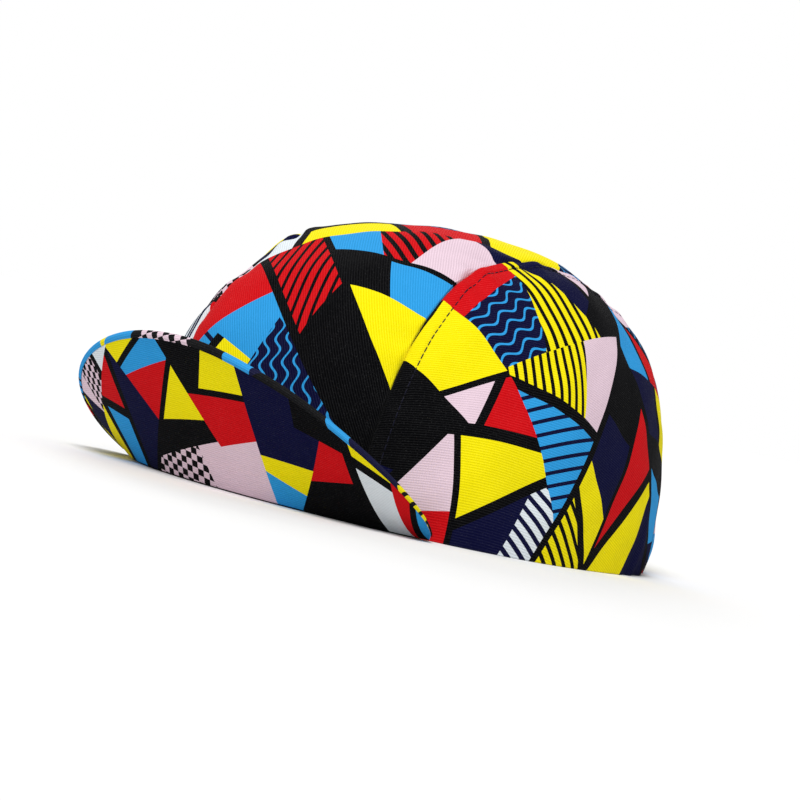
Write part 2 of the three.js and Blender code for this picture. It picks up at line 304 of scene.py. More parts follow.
def build_mesh(name, positions, quads, cloth, border=None):
    """A smooth closed mesh facing out. cloth is each vertex's place in its cloth, and border its distance
    from the edge that is rubbed most."""
    a, b, c, d = (positions[quads[:, corner]] for corner in range(4))
    volume = np.einsum("ij,ij->", a, np.cross(b, c)) + np.einsum("ij,ij->", a, np.cross(c, d))
    if volume < 0:
        quads = quads[:, ::-1]
    mesh = bpy.data.meshes.new(name)
    shifted = (positions + np.array([0, MIDDLE_Y, 0])) / MM_PER_METRE
    faces = [list(dict.fromkeys(quad)) for quad in quads.tolist()]
    mesh.from_pydata(shifted.tolist(), [], [face for face in faces if len(face) > 2])
    mesh.polygons.foreach_set("use_smooth", [True] * len(mesh.polygons))
    place = mesh.attributes.new("cloth", "FLOAT_VECTOR", "POINT")
    flat = np.ones((len(positions), 3))
    flat[:, :2] = cloth
    place.data.foreach_set("vector", flat.ravel())
    away = mesh.attributes.new("border", "FLOAT", "POINT")
    away.data.foreach_set("value", np.full(len(positions), FAR_FROM_BORDER) if border is None else border)
    mesh.update()
    return new_object(name, mesh)


def wall(name, outer, inner, cloth, is_dome=False, border=None):
    """A closed wall between two grids of points (rows, columns, 3)."""
    rows, columns = outer.shape[:2]
    ids = np.arange(2 * rows * columns).reshape(2, rows, columns)
    if is_dome:  # joined all round, its last row one point
        ids[:, -1, :] = ids[:, -1, :1]
        ids = np.concatenate([ids, ids[:, :, :1]], axis=2)
    o, i = ids
    strips = [(o[:-1, :-1], o[:-1, 1:], o[1:, 1:], o[1:, :-1]),
              (i[:-1, :-1], i[1:, :-1], i[1:, 1:], i[:-1, 1:]),
              (i[0, :-1], i[0, 1:], o[0, 1:], o[0, :-1])]
    if not is_dome:
        strips += [(o[-1, :-1], o[-1, 1:], i[-1, 1:], i[-1, :-1]),
                   (o[:-1, 0], o[1:, 0], i[1:, 0], i[:-1, 0]),
                   (i[:-1, -1], i[1:, -1], o[1:, -1], o[:-1, -1])]
    quads = np.concatenate([np.stack([corner.ravel() for corner in strip], -1) for strip in strips])
    used = np.unique(quads)
    positions = np.concatenate([outer.reshape(-1, 3), inner.reshape(-1, 3)])[used]
    places = np.concatenate([cloth.reshape(-1, 2)] * 2)[used]
    if border is not None:
        border = np.concatenate([border.ravel()] * 2)[used]
    return build_mesh(name, positions, np.searchsorted(used, quads), places, border)


def unrolled(grid):
    """Places in the cloth of a grid: across from its middle column, and along that column."""
    middle = grid.shape[1] // 2
    steps = np.linalg.norm(np.diff(grid, axis=1), axis=2)
    across = np.concatenate([np.zeros((len(grid), 1)), np.cumsum(steps, axis=1)], axis=1)
    across -= across[:, middle:middle + 1]
    up = lengths_along(grid[:, middle])
    return np.stack([across, np.broadcast_to(up[:, None], across.shape)], -1)


# Crown

STRIP_ACROSS, STRIP_ALONG, PANEL_AROUND, PANEL_UPWARD = 90, 300, 190, 100  # rough lengths, for the meshes
SEAM_PARTS = (0.27, 0.73)  # shares of the seam where a panel's top edge begins and ends
PANEL_MIDDLE, PANEL_RADIUS = (0, CROWN_LEAN, 20), 88  # of the ball from which a panel's cloth is laid flat
PANEL_FACING = heading(0.0, math.radians(38))
PANEL_UP = np.cross(PANEL_FACING, [0, 1.0, 0])
TINY = 1e-6


def panel_faces(direction):
    """The printed cloth's outside and inside in these directions, and the way from its edge."""
    base = crown_point(direction)
    relief = cloth_relief(base)
    away, _ = seam_distance(base)
    edge = np.minimum(np.abs(away), base[..., 2])
    nose = bullnose(edge, CLOTH / 2 * NOSE_SHARE)
    return crown_point(direction, nose - relief), crown_point(direction, CLOTH - nose - relief), edge


def centre_strip():
    across = 2 * spread(STRIP_ACROSS) - 1
    along = math.pi * spread(STRIP_ALONG, is_fine=False)
    direction = strip_direction(*np.meshgrid(across, along))
    outer, inner, edge = panel_faces(direction)
    return wall("crown_centre_cloth", outer, inner, unrolled(crown_point(direction)), border=edge)


def seam_part(share):
    """Points of the seam on the wearer's left, at shares of the way from its front end."""
    return crown_point(strip_direction(np.ones_like(share), math.pi * share))


def side_panel(name, hand):
    """A patch between the rim and the front, top and back parts of the seam."""
    mirror = np.array([hand, 1, 1])
    front, back = SEAM_PARTS
    corners = seam_part(np.array([0.0, 1.0, front, back]))
    first, last = np.arctan2(corners[:2, 1], corners[:2, 0])
    u, v = np.meshgrid(spread(PANEL_AROUND), spread(PANEL_UPWARD))
    rim = crown_point(heading(lerp(first, last, u), 0.0))
    top = seam_part(lerp(front, back, u))
    fore = seam_part(front * v)
    aft = seam_part(lerp(1, back, v))
    u, v = u[..., None], v[..., None]
    mixed = rim * (1 - v) + top * v + fore * (1 - u) + aft * u
    for corner, weight in zip(corners, ((1 - u) * (1 - v), u * (1 - v), (1 - u) * v, u * v)):
        mixed = mixed - corner * weight
    mixed[0], mixed[-1], mixed[:, 0], mixed[:, -1] = rim[0], top[-1], fore[:, 0], aft[:, -1]
    direction = level(mixed) * mirror
    outer, inner, edge = panel_faces(direction)

    seen = unit(crown_point(direction) * mirror - np.array(PANEL_MIDDLE))
    angle = np.arccos(np.clip(seen @ PANEL_FACING, -1, 1))
    aside, upward = seen[..., 1], -(seen @ PANEL_UP)
    size = PANEL_RADIUS * angle / np.maximum(np.hypot(aside, upward), TINY)
    return wall(name, outer, inner, np.stack([aside * size, upward * size], -1), border=edge)


LINING_AROUND, LINING_ROWS, LINING_EDGES = 240, 70, [0, 0.002, 0.005]
LINING_FIRST_ROW = 0.012
LINING_OUTSIDE, LINING_INSIDE, LINING_NOSE = LINING_DEPTH + 0.25, LINING_DEPTH + 1.15, 0.4
LINING_RIPPLE, LINING_RIPPLE_WAVE, LINING_RIPPLE_SEED, LINING_SOFT_HEIGHT = 0.25, 40, 11, 30


def lining():
    around = np.linspace(0, math.tau, LINING_AROUND, endpoint=False)
    foot = math.atan(LINING_LIFT / RIM_FRONT)
    rows = np.concatenate([LINING_EDGES, np.linspace(LINING_FIRST_ROW, 1, LINING_ROWS)])
    direction = heading(*np.meshgrid(around, lerp(foot, QUARTER_TURN, rows)))
    base = crown_point(direction, LINING_DEPTH)
    height = base[..., 2]
    soft = LINING_RIPPLE * ripples(base, LINING_RIPPLE_WAVE, LINING_RIPPLE_SEED)
    soft = soft * rounded(height, LINING_SOFT_HEIGHT)
    nose = bullnose(height - height[0], LINING_NOSE)
    outer = crown_point(direction, LINING_OUTSIDE - soft + nose)
    inner = crown_point(direction, LINING_INSIDE - soft - nose)
    place = np.stack([base[..., 0], base[..., 1] + height], -1)
    return wall("lining_cloth", outer, inner, place, is_dome=True)


RIM_SEAM_AROUND, RIM_SEAM_TURNS, RIM_SEAM_STEP = 900, range(90, 271, 30), 0.4
CLEARANCE, BAND_OVERLAP = 0.04, 0.45  # off the cloth and the floor, and in under the band
ROOT_ALLOWANCE, ROOT_ONSET = 1.5, 14  # how far it reaches out under the peak's root, and how soon
FOREHEAD_AROUND = 1.5 * math.pi  # the forehead, as a positive angle


def rim_seam():
    """The edge of the sweatband, turned out under the lining and sewn to the rim and the peak's root."""
    around = np.linspace(0, math.tau, RIM_SEAM_AROUND, endpoint=False)
    direction = heading(around, 0.0 * around)
    relief = cloth_relief(crown_point(direction))
    beside_peak = np.abs(around - FOREHEAD_AROUND) / math.radians(PEAK_HALF_ANGLE)
    under_peak = np.clip((1 - beside_peak) * ROOT_ONSET, 0, 1)
    first = lerp(CLOTH - CLEARANCE - relief, -ROOT_ALLOWANCE, under_peak)
    last = BAND_DEPTH + BAND_OVERLAP
    low, high = CLEARANCE, BAND_LIFT - CLEARANCE
    middle, half = (low + high) / 2, (high - low) / 2
    turns = np.radians(RIM_SEAM_TURNS)
    ring = [(first + half + half * np.cos(turn), middle - half * np.sin(turn)) for turn in turns]
    ring += [(last - half - half * np.cos(turn), middle + half * np.sin(turn)) for turn in turns]
    rows = []
    for depth, height in ring:
        point = direction * rim_radius(around, depth)[:, None]
        point[:, 2] = height
        rows.append(point)
    ids = np.arange(len(rows) * len(around)).reshape(len(rows), len(around))
    after, beside = np.roll(ids, -1, axis=0), np.roll(ids, -1, axis=1)
    quads = np.stack([ids, beside, np.roll(after, -1, axis=1), after], -1).reshape(-1, 4)
    arc = np.broadcast_to(around * RIM_WIDTH / 2, ids.shape)
    across = np.broadcast_to(np.arange(len(rows))[:, None] * RIM_SEAM_STEP, ids.shape)
    cloth = np.stack([arc, across], -1).reshape(-1, 2)
    return build_mesh("rim_seam", np.concatenate(rows), quads, cloth)


# Sweatband and elastic

ELASTIC_HALF_ANGLE = ELASTIC_HALF_LENGTH / RIM_BACK
BAND_COLUMNS, BAND_ROWS, BAND_END_GAP = 1300, 12, 0.1
BAND_EDGES, BAND_FIRST_ROW = [0, 0.008, 0.02, 0.04, 0.06, 0.085, 0.11], 0.14  # shares of its height
BAND_CLOTH, BAND_NOSE = 1.2, 0.55
RIB_DEPTH, RIB_PITCH, RIBS_FROM_EDGE, RIB_FADE = 0.11, 1.9, 2.2, 1.0
BAND_PUFF, BAND_PUFF_WIDTH = 0.3, 4.0
BAND_RIPPLE, BAND_RIPPLE_WAVE, BAND_RIPPLE_SEED = 0.18, 24, 21
LINES_BELOW_TOP, LINE_ABOVE_RIM = (1.3, 3.0), 1.6
BAND_CREASE, BAND_CREASE_WIDTH = 0.2, 0.4
ELASTIC_COLUMNS, ELASTIC_ROWS = 320, 26
ELASTIC_EDGES, ELASTIC_FIRST_ROW = [0, 0.01, 0.025, 0.05], 0.08
ELASTIC_CLOTH, ELASTIC_NOSE = 1.25, 0.6
ELASTIC_BEND, ELASTIC_BEND_UP, ELASTIC_BEND_ALONG = 1.1, 0.7, 0.09
ELASTIC_SWAY, ELASTIC_SWAY_ALONG = 0.7, 0.31
THIN_GATHER, THIN_GATHER_PITCH, GATHERS_FROM_EDGE = 0.42, 3.1, 2.0
CHANNEL_DEPTH, CHANNEL_WIDTH, CHANNELS = 0.28, 0.45, (0.12, 0.37, 0.63, 0.88)


def band_height(angle):
    end = np.where(np.sin(angle) < 0, BAND_FRONT_HEIGHT, BAND_BACK_HEIGHT)
    return lerp(BAND_SIDE_HEIGHT, end, np.sin(angle) ** 2)


def band_point(angle, height, depth):
    """A point of the sweatband's wall, at a height above the rim."""
    direction = heading(angle, np.arctan2(height, rim_radius(angle, depth)))
    for _ in range(BAND_ROUNDS):
        direction[..., 2] *= height / crown_point(direction, depth)[..., 2]
    point = crown_point(direction, depth)
    point[..., 2] = height
    return point


def band_rows(edge, first, count):
    """Shares of the band's height, close together at both ends."""
    return np.concatenate([edge, np.linspace(first, 1 - first, count), 1 - np.array(edge[::-1])])


def band_places(first, last, count, rows):
    """A grid's angles, heights, places in the band's cloth, the band's top and the way from its edge."""
    angle, share = np.meshgrid(np.linspace(first, last, count), rows)
    top = band_height(angle)
    height = lerp(BAND_LIFT, top, share)
    place = unrolled(band_point(angle, height, BAND_DEPTH))
    place[..., 1] = height
    return angle, height, place, top, np.minimum(height - BAND_LIFT, top - height)


def band_wall(name, angle, height, place, depth, nose):
    """The wall between the band's outside and that depth of its inside."""
    return wall(name, band_point(angle, height, BAND_DEPTH + nose), band_point(angle, height, depth), place)


def sweatband():
    half = math.pi - ELASTIC_HALF_ANGLE - BAND_END_GAP / RIM_BACK
    rows = band_rows(BAND_EDGES, BAND_FIRST_ROW, BAND_ROWS)
    angle, height, place, top, edge = band_places(FOREHEAD - half, FOREHEAD + half, BAND_COLUMNS, rows)
    arc = place[..., 0]
    nose = bullnose(edge, BAND_NOSE)
    rib = RIB_DEPTH * np.cos(math.tau * arc / RIB_PITCH) * rounded(edge - RIBS_FROM_EDGE, RIB_FADE)
    ripple = ripples(np.stack([arc, height, 0 * height], -1), BAND_RIPPLE_WAVE, BAND_RIPPLE_SEED)
    puff = BAND_PUFF * rounded(edge, BAND_PUFF_WIDTH) + BAND_RIPPLE * ripple
    from_lines = [*(top - height - line for line in LINES_BELOW_TOP), height - BAND_LIFT - LINE_ABOVE_RIM]
    crease = sum(BAND_CREASE * bell(away, BAND_CREASE_WIDTH) for away in from_lines)
    depth = BAND_DEPTH + BAND_CLOTH - nose + rib + puff - crease
    return band_wall("sweatband_cloth", angle, height, place, depth, nose)


def nape_elastic():
    rows = band_rows(ELASTIC_EDGES, ELASTIC_FIRST_ROW, ELASTIC_ROWS)
    first, last = NAPE - ELASTIC_HALF_ANGLE, NAPE + ELASTIC_HALF_ANGLE
    angle, height, place, top, edge = band_places(first, last, ELASTIC_COLUMNS, rows)
    arc = place[..., 0]
    nose = bullnose(edge, ELASTIC_NOSE)
    bend = (ELASTIC_BEND * np.sin(height * ELASTIC_BEND_UP + arc * ELASTIC_BEND_ALONG)
            + ELASTIC_SWAY * np.sin(arc * ELASTIC_SWAY_ALONG))
    wave = 0.5 + 0.5 * np.cos(math.tau * (arc + bend) / THIN_GATHER_PITCH)
    gather = THIN_GATHER * wave * rounded(edge, GATHERS_FROM_EDGE)
    channel = CHANNEL_DEPTH * sum(bell(height - BAND_LIFT - share * (top - BAND_LIFT), CHANNEL_WIDTH)
                                  for share in CHANNELS)
    depth = BAND_DEPTH + ELASTIC_CLOTH - nose + gather - channel
    return band_wall("nape_elastic_cloth", angle, height, place, depth, nose)


# Peak

PEAK_TOP_CLOTH, PEAK_UNDER_CLOTH, PEAK_FACE_GAP = 0.9, 0.9, 0.1
PEAK_UNDER_START = PEAK_TOP_CLOTH + PEAK_FACE_GAP
PEAK_THICKNESS = PEAK_UNDER_START + PEAK_UNDER_CLOTH
PEAK_SIDES = np.sin(np.linspace(-QUARTER_TURN, QUARTER_TURN, 221))
PEAK_EDGES, PEAK_FIRST_ROW, PEAK_ROWS = [0, 0.004, 0.01, 0.02], 0.035, 60  # shares of its length
PEAK_LAST_ROW, PEAK_LAST_ROWS = 0.97, [0.98, 0.99, 0.996, 1]
PEAK_SPAN = (75, 50)  # about half its width, and its length
PEAK_BENDS, PEAK_WAVES = [(0.5, 62, 31), (0.1, 19, 32)], 5  # depth, wavelength, seed
PEAK_NOSE, UNDER_SHORTER = 0.4, 0.25
LIP, LIP_OVERLAP = 0.4, 0.9  # the top cloth's rolled edge, and how far it lies on the under cloth
LIP_ROWS, LIP_ONSET, LIP_NOSE, LIP_RUBBED = 6, 3, LIP * 0.49, 0.6
ROLL_TURNS, ROLL_GAP, THINNING_REACH = 15, 0.03, 4.0


def peak_size(side):
    """The flare, the fullness and the length of the peak at a place across it, -1 to 1."""
    flare = np.radians(lerp(PEAK_FLARE_MIDDLE, PEAK_FLARE_ENDS, side ** 2))
    fullness = np.maximum(0, 1 - side ** 2) ** PEAK_ROUNDNESS
    return flare, fullness, lerp(PEAK_TIP_LENGTH, PEAK_LENGTH, fullness)


def peak_point(side, along, through, root_share):
    """A point of the peak: along the cloth from its root, through it from the crown's side outwards."""
    angle = FOREHEAD + side * math.radians(PEAK_HALF_ANGLE)
    flare, _, _ = peak_size(side)
    run = along + through * np.tan(flare) * root_share
    radius = rim_radius(angle) + PEAK_ROOT_GAP + np.sin(flare) * run + np.cos(flare) * through
    point = heading(angle, 0.0 * angle) * radius[..., None]
    point[..., 2] = PEAK_ROOT_LIFT + np.cos(flare) * run - np.sin(flare) * through
    return point


def peak_bends(side, share):
    """Slight bends of the stiffened cloth, none at its root."""
    width, length = PEAK_SPAN
    place = np.stack([side * width, share * length, 0 * side], -1)
    return sum(depth * share * ripples(place, wave, seed, PEAK_WAVES) for depth, wave, seed in PEAK_BENDS)


def peak_under():
    middle_rows = np.linspace(PEAK_FIRST_ROW, PEAK_LAST_ROW, PEAK_ROWS)
    side, share = np.meshgrid(PEAK_SIDES, np.concatenate([PEAK_EDGES, middle_rows, PEAK_LAST_ROWS]))
    _, fullness, length = peak_size(side)
    along = share * (length - UNDER_SHORTER)
    nose = bullnose(np.minimum(along, length - UNDER_SHORTER - along), PEAK_NOSE)
    bend = peak_bends(side, share)
    root = 1 - share * fullness
    outer = peak_point(side, along, PEAK_THICKNESS - nose + bend, root)
    inner = peak_point(side, along, PEAK_UNDER_START + nose + bend, root)
    place = unrolled(outer)
    place[..., 1] = along
    return wall("peak_under_cloth", outer, inner, place)


def peak_top():
    """The cloth of the other face, which rolls round the peak's edge onto the under cloth."""
    turns = np.radians(np.linspace(-90, 90, ROLL_TURNS))
    flat_rows = np.concatenate([PEAK_EDGES, np.linspace(PEAK_FIRST_ROW, 1, PEAK_ROWS)])
    count = len(flat_rows)
    side, row = np.meshgrid(PEAK_SIDES, np.arange(count + ROLL_TURNS + LIP_ROWS))
    _, fullness, length = peak_size(side)
    is_flat = row < count
    share = np.where(is_flat, flat_rows[np.minimum(row, count - 1)], 1.0)
    turned = turns[np.clip(row - count, 0, ROLL_TURNS - 1)]
    lip_row = np.clip(row - count - ROLL_TURNS + 1, 0, LIP_ROWS)
    lip = LIP_OVERLAP * np.minimum(1, fullness * LIP_ONSET) * lip_row / LIP_ROWS
    bend = peak_bends(side, share)
    root = np.where(is_flat, 1 - share * fullness, 1 - fullness)
    root_nose = bullnose(share * length, PEAK_NOSE) * is_flat
    lip_nose = np.where(is_flat, 0, bullnose(LIP_OVERLAP * (1 - lip_row / LIP_ROWS), LIP_NOSE))
    radius = PEAK_THICKNESS / 2

    def face(reach, through_flat):
        along = np.where(is_flat, share * length, length + reach * np.cos(turned) - lip)
        through = np.where(is_flat, through_flat, radius + reach * np.sin(turned))
        return peak_point(side, along, through + bend, root)

    thinned = np.clip(1 - (1 - share) * length / THINNING_REACH, 0, 1) ** 2  # to the lip, near the edge
    outer = face(radius + LIP - lip_nose, root_nose - LIP * thinned)
    inner = face(radius + ROLL_GAP + lip_nose, lerp(PEAK_TOP_CLOTH, 0.0, thinned) - root_nose)
    edge = np.where(is_flat, (1 - share) * length, lip * LIP_RUBBED)
    return wall("peak_top_cloth", outer, inner, unrolled(outer), border=edge)


# Stitches

STITCH_LENGTH, STITCH_RADIUS, STITCH_WIDENING, STITCH_SINK = 2.35, 0.17, 1.15, 0.18
STITCH_RINGS = [(-1.0, 0.25), (-0.86, 0.75), (-0.5, 1.0), (0.5, 1.0), (0.86, 0.75), (1.0, 0.25)]
STITCH_SIDES = 6
TANGENT_REACH = 0.5
LOWEST_TOPSTITCH, TOPSTITCH_LIFT, BAND_STITCH_LIFT = 2.5, 0.06, 0.22
CROWN_MIDDLE = (0, CROWN_LEAN, 10)  # where the crown's normals come from
LINE_POINTS = 900


def value_at(values, lengths, at):
    return np.array([np.interp(at, lengths, values[:, axis]) for axis in range(3)])


def stitch_row(points, normals):
    """A row of thread stitches along points, each a small capsule lying on its cloth."""
    lengths = lengths_along(points)
    verts, quads = [], []
    for index in range(int(lengths[-1] // STITCH_PITCH)):
        at = (index + 0.5) * STITCH_PITCH
        middle = value_at(points, lengths, at)
        axis = value_at(points, lengths, at + TANGENT_REACH) - value_at(points, lengths, at - TANGENT_REACH)
        axis = axis / np.linalg.norm(axis)
        up = value_at(normals, lengths, at)
        up = up - axis * (up @ axis)
        up /= np.linalg.norm(up)
        cross = np.cross(up, axis)
        base = len(verts)
        for place, size in STITCH_RINGS:
            sink = -STITCH_SINK * place ** 2
            for side in range(STITCH_SIDES):
                turn = math.radians(360 // STITCH_SIDES * side)
                verts.append(middle + axis * place * STITCH_LENGTH / 2
                             + up * (sink + STITCH_RADIUS * size * math.sin(turn))
                             + cross * STITCH_WIDENING * STITCH_RADIUS * size * math.cos(turn))
        for ring in range(len(STITCH_RINGS) - 1):
            start = base + STITCH_SIDES * ring
            for side in range(STITCH_SIDES):
                beside = (side + 1) % STITCH_SIDES
                quads.append([start + side, start + beside, start + STITCH_SIDES + beside,
                              start + STITCH_SIDES + side])
        first_ring = range(base + STITCH_SIDES - 1, base - 1, -1)
        last_ring = range(len(verts) - STITCH_SIDES, len(verts))
        for a, b, c, d, e, f in (first_ring, last_ring):
            quads += [[a, b, c, d], [a, d, e, f]]
    return verts, quads


def stitches(name, rows):
    verts, quads = [], []
    for points, normals in rows:
        more, faces = stitch_row(points, normals)
        quads += [[index + len(verts) for index in face] for face in faces]
        verts += more
    verts = np.array(verts)
    return build_mesh(name, verts, np.array(quads), np.stack([verts[:, 0], verts[:, 2]], -1))


def topstitch(hand):
    """Points and normals on the cloth beside a seam."""
    tangent = unit(np.gradient(SEAM, axis=0))
    up = SEAM - np.array([0, CROWN_LEAN, 0])
    up = up - tangent * np.sum(up * tangent, axis=1, keepdims=True)
    aside = unit(np.cross(tangent, up))
    if aside[SEAM_POINTS // 2, 0] < 0:
        aside = -aside
    points = SEAM + aside * TOPSTITCH_FROM_SEAM
    points = points[points[:, 2] > LOWEST_TOPSTITCH] * np.array([hand, 1, 1])
    direction = level(points)
    surface = crown_point(direction, -cloth_relief(crown_point(direction)))
    normal = unit(surface - np.array(CROWN_MIDDLE))
    return surface + normal * TOPSTITCH_LIFT, normal


def stitch_line(half, height_of):
    """Points and normals of a row of stitches on the band's inside."""
    angle = np.linspace(FOREHEAD - half, FOREHEAD + half, LINE_POINTS)
    normal = -heading(angle, 0 * angle)
    return band_point(angle, height_of(angle), BAND_DEPTH + BAND_CLOTH + BAND_STITCH_LIFT), normal


# Materials

LIGHT = 1.16  # how much the studio's light brightens a pale cloth


def linear(red, green, blue):
    """A screen colour as the scene's linear colour, less what the light adds."""
    values = []
    for value in (red, green, blue):
        value /= 255
        value = value / 12.92 if value <= 0.04045 else ((value + 0.055) / 1.055) ** 2.4
        values.append(value / LIGHT)
    return (*values, 1.0)


PALETTE = {
    "yellow": linear(250, 234, 8),
    "red": linear(210, 14, 22),
    "navy": linear(11, 13, 54),
    "sky": linear(48, 158, 226),
    "pink": linear(232, 206, 219),
    "white": linear(230, 238, 243),
    "black": linear(6, 6, 8),
}
BAND_BLACK, LINING_BLACK = linear(30, 30, 31), linear(27, 27, 28)
NAVY_THREAD, BLACK_THREAD = linear(20, 20, 40), linear(34, 34, 36)
PALE_FIBRE_AND_HIGHLIGHT = (0.6, 0.6, 0.62, 1)  # where lint lies on the cloth, where its print is rubbed off, and the painted highlight on the ribs' tops

# Sockets that have to be picked by number
ATTRIBUTE_VECTOR, ATTRIBUTE_VALUE, OBJECT_PLACE, DOT_VALUE = 1, 2, 3, 1
MIX_SHARE, MIX_A, MIX_B, MIX_COLOUR = 0, 6, 7, 2


class Shader:
    """A material's or the world's nodes. Each input is another node's socket or a plain value."""

    def __init__(self, owner):
        self.owner = owner
        owner.use_nodes = True
        self.tree = owner.node_tree
        self.tree.nodes.clear()

    def add(self, kind, inputs, output=0, **settings):
        node = self.tree.nodes.new(kind)
        for key, value in settings.items():
            setattr(node, key, value)
        for key, value in inputs.items():
            if isinstance(value, bpy.types.NodeSocket):
                self.tree.links.new(value, node.inputs[key])
            else:
                node.inputs[key].default_value = value
        return node.outputs[output] if node.outputs else node

    def math(self, operation, a, b=0.0, c=0.0):
        return self.add("ShaderNodeMath", {0: a, 1: b, 2: c}, operation=operation)

    def mix(self, share, a, b, blend="MIX"):
        return self.add("ShaderNodeMix", {MIX_SHARE: share, MIX_A: a, MIX_B: b}, MIX_COLOUR,
                        data_type="RGBA", blend_type=blend)

    def grey(self, value):
        return self.add("ShaderNodeCombineColor", {0: value, 1: value, 2: value})

    def dot(self, a, b):
        return self.add("ShaderNodeVectorMath", {0: a, 1: b}, DOT_VALUE, operation="DOT_PRODUCT")

    def lines(self, place, direction, pitch):
        """The count of lines across that direction in degrees."""
        angle = math.radians(direction)
        return self.dot(place, (math.cos(angle) / pitch, math.sin(angle) / pitch, 0.0))

    def ribs(self, place, direction, pitch):
        """Even waves across that direction, between -1 and 1."""
        return self.math("SINE", self.math("MULTIPLY", self.lines(place, direction, pitch), math.tau))

    def is_line(self, count, share):
        """Whether a place lies on a line that takes up that share of its pitch."""
        return self.math("LESS_THAN", self.math("FRACT", count), share)

    def noise(self, place, scale, detail, roughness):
        return self.add("ShaderNodeTexNoise", {"Vector": place, "Scale": scale, "Detail": detail,
                                               "Roughness": roughness})

    def finish(self, inputs):
        bsdf = self.add("ShaderNodeBsdfPrincipled", inputs)
        self.add("ShaderNodeOutputMaterial", {"Surface": bsdf})
        return self.owner


THREAD_TURN, THREAD_PITCH, THREAD_HEIGHT = 68, 0.62, 0.35  # of the threads that cross the ribs
BLOTCH_NOISE, GRAIN_NOISE = (0.11, 3.0, 0.6), (2.2, 2.0, 0.6)  # scale, detail, roughness
LINT_NOISE, RUBBING_NOISE = (2.2, 3.0, 0.65), (0.9, 3.0, 0.65)
WEAVE_SHADE, BLOTCH_SHADE, GRAIN_SHADE, GRAIN_HEIGHT = 0.1, 0.1, 0.16, 0.8
# the third share sets how strongly a painted highlight lightens the ribs' tops
LINT_FROM, LINT_SHARE, RIB_HIGHLIGHT_SHARE = 0.57, 0.24, 0.022
RUBBED_SHARE, RUBBED_WIDTH = 0.02, 0.9
BUMP_STRENGTH, PRINT_BUMP, BAND_BUMP = 0.55, 0.05, 0.08  # the bumps' depth in millimetres
CLOTH_ROUGHNESS, THREAD_ROUGHNESS, ROUGH_CHANGE = 0.85, 0.6, 0.16
CLOTH_SHEEN, THREAD_SHEEN, SHEEN_ROUGHNESS, CLOTH_SPECULAR = 0.01, 0.1, 0.45, 0.02


def cloth_shader(name, colour_of, weave, bump_depth=PRINT_BUMP, roughness=CLOTH_ROUGHNESS, sheen=CLOTH_SHEEN):
    """Woven cloth: a colour, fine ribs in the weave's direction crossed by its threads, lint, wear, and a
    painted highlight on the ribs' tops.
    """
    s = Shader(bpy.data.materials.new(name))
    place = s.add("ShaderNodeAttribute", {}, ATTRIBUTE_VECTOR, attribute_name="cloth")
    border = s.add("ShaderNodeAttribute", {}, ATTRIBUTE_VALUE, attribute_name="border")
    colour = colour_of(s, place)
    angle, pitch = weave
    rib = s.ribs(place, angle, pitch)
    crossing = s.ribs(place, angle + THREAD_TURN, pitch * THREAD_PITCH)
    threads = s.math("MULTIPLY_ADD", crossing, THREAD_HEIGHT, rib)
    blotches, grain = s.noise(place, *BLOTCH_NOISE), s.noise(place, *GRAIN_NOISE)
    uneven = s.math("SUBTRACT", blotches, 0.5)

    shade = s.math("MULTIPLY_ADD", threads, WEAVE_SHADE, 1.0)
    shade = s.math("MULTIPLY_ADD", uneven, BLOTCH_SHADE, shade)
    shade = s.math("MULTIPLY_ADD", s.math("SUBTRACT", grain, 0.5), GRAIN_SHADE, shade)
    colour = s.mix(1.0, colour, s.grey(shade), "MULTIPLY")
    lint = s.math("MULTIPLY", s.math("SUBTRACT", s.noise(place, *LINT_NOISE), LINT_FROM), LINT_SHARE)
    # painted highlight: the ribs' tops are lightened toward pale fibre, along with the real lint speckle
    rib_highlight = s.math("MULTIPLY", s.math("MULTIPLY", s.math("MAXIMUM", rib, 0.0), blotches), RIB_HIGHLIGHT_SHARE)
    colour = s.mix(s.math("ADD", s.math("MAXIMUM", lint, 0.0), rib_highlight), colour, PALE_FIBRE_AND_HIGHLIGHT)
    near_edge = s.math("MAXIMUM", s.math("SUBTRACT", 1.0, s.math("DIVIDE", border, RUBBED_WIDTH)), 0.0)
    wear = s.math("MULTIPLY", s.noise(place, *RUBBING_NOISE), RUBBED_SHARE)
    colour = s.mix(s.math("MULTIPLY", near_edge, wear), colour, PALE_FIBRE_AND_HIGHLIGHT)

    height = s.math("MULTIPLY_ADD", grain, GRAIN_HEIGHT, threads)
    bump = s.add("ShaderNodeBump", {"Strength": BUMP_STRENGTH, "Distance": bump_depth / MM_PER_METRE,
                                    "Height": height})
    rough = s.math("MULTIPLY_ADD", uneven, ROUGH_CHANGE, roughness)
    return s.finish({"Base Color": colour, "Roughness": rough, "Normal": bump, "Sheen Weight": sheen,
                     "Sheen Roughness": SHEEN_ROUGHNESS, "Specular IOR Level": CLOTH_SPECULAR})


# The printed pattern: straight cuts divide the cloth into shards, some with stripes, checks or waves

SHARD_COLOURS = {"yellow": 5, "navy": 4, "red": 4, "sky": 3, "pink": 4, "black": 4, "white": 0.6}
RECENT = 3  # for how many shards a colour isn't used again
MOTIFS, SMALLEST_MOTIF = {"plain": 74, "stripes": 14, "checks": 5, "waves": 7}, 260
STRIPES = [("sky", "navy"), ("yellow", "black"), ("pink", "red"), ("white", "navy"), ("red", "black")]
STRIPE_PITCHES, STRIPE_SHARES = (3.4, 4.6), (0.28, 0.45)
CHECK_PITCH = 5.2
WAVE_PITCH, WAVE_SHARE, WAVE_SWING, WAVE_RUN = 4.2, 0.22, 0.3, 0.62
SHARD_SPREAD = (0.7, 2.1)  # of the shards' areas, as shares of the area wanted
CUT_TURN, CUT_ASIDE = 42, 0.16
OUTLINED, OUTLINE_WIDTHS = 0.58, [2.4, 3.2, 3.8, 4.6]  # the share of cuts with an outline


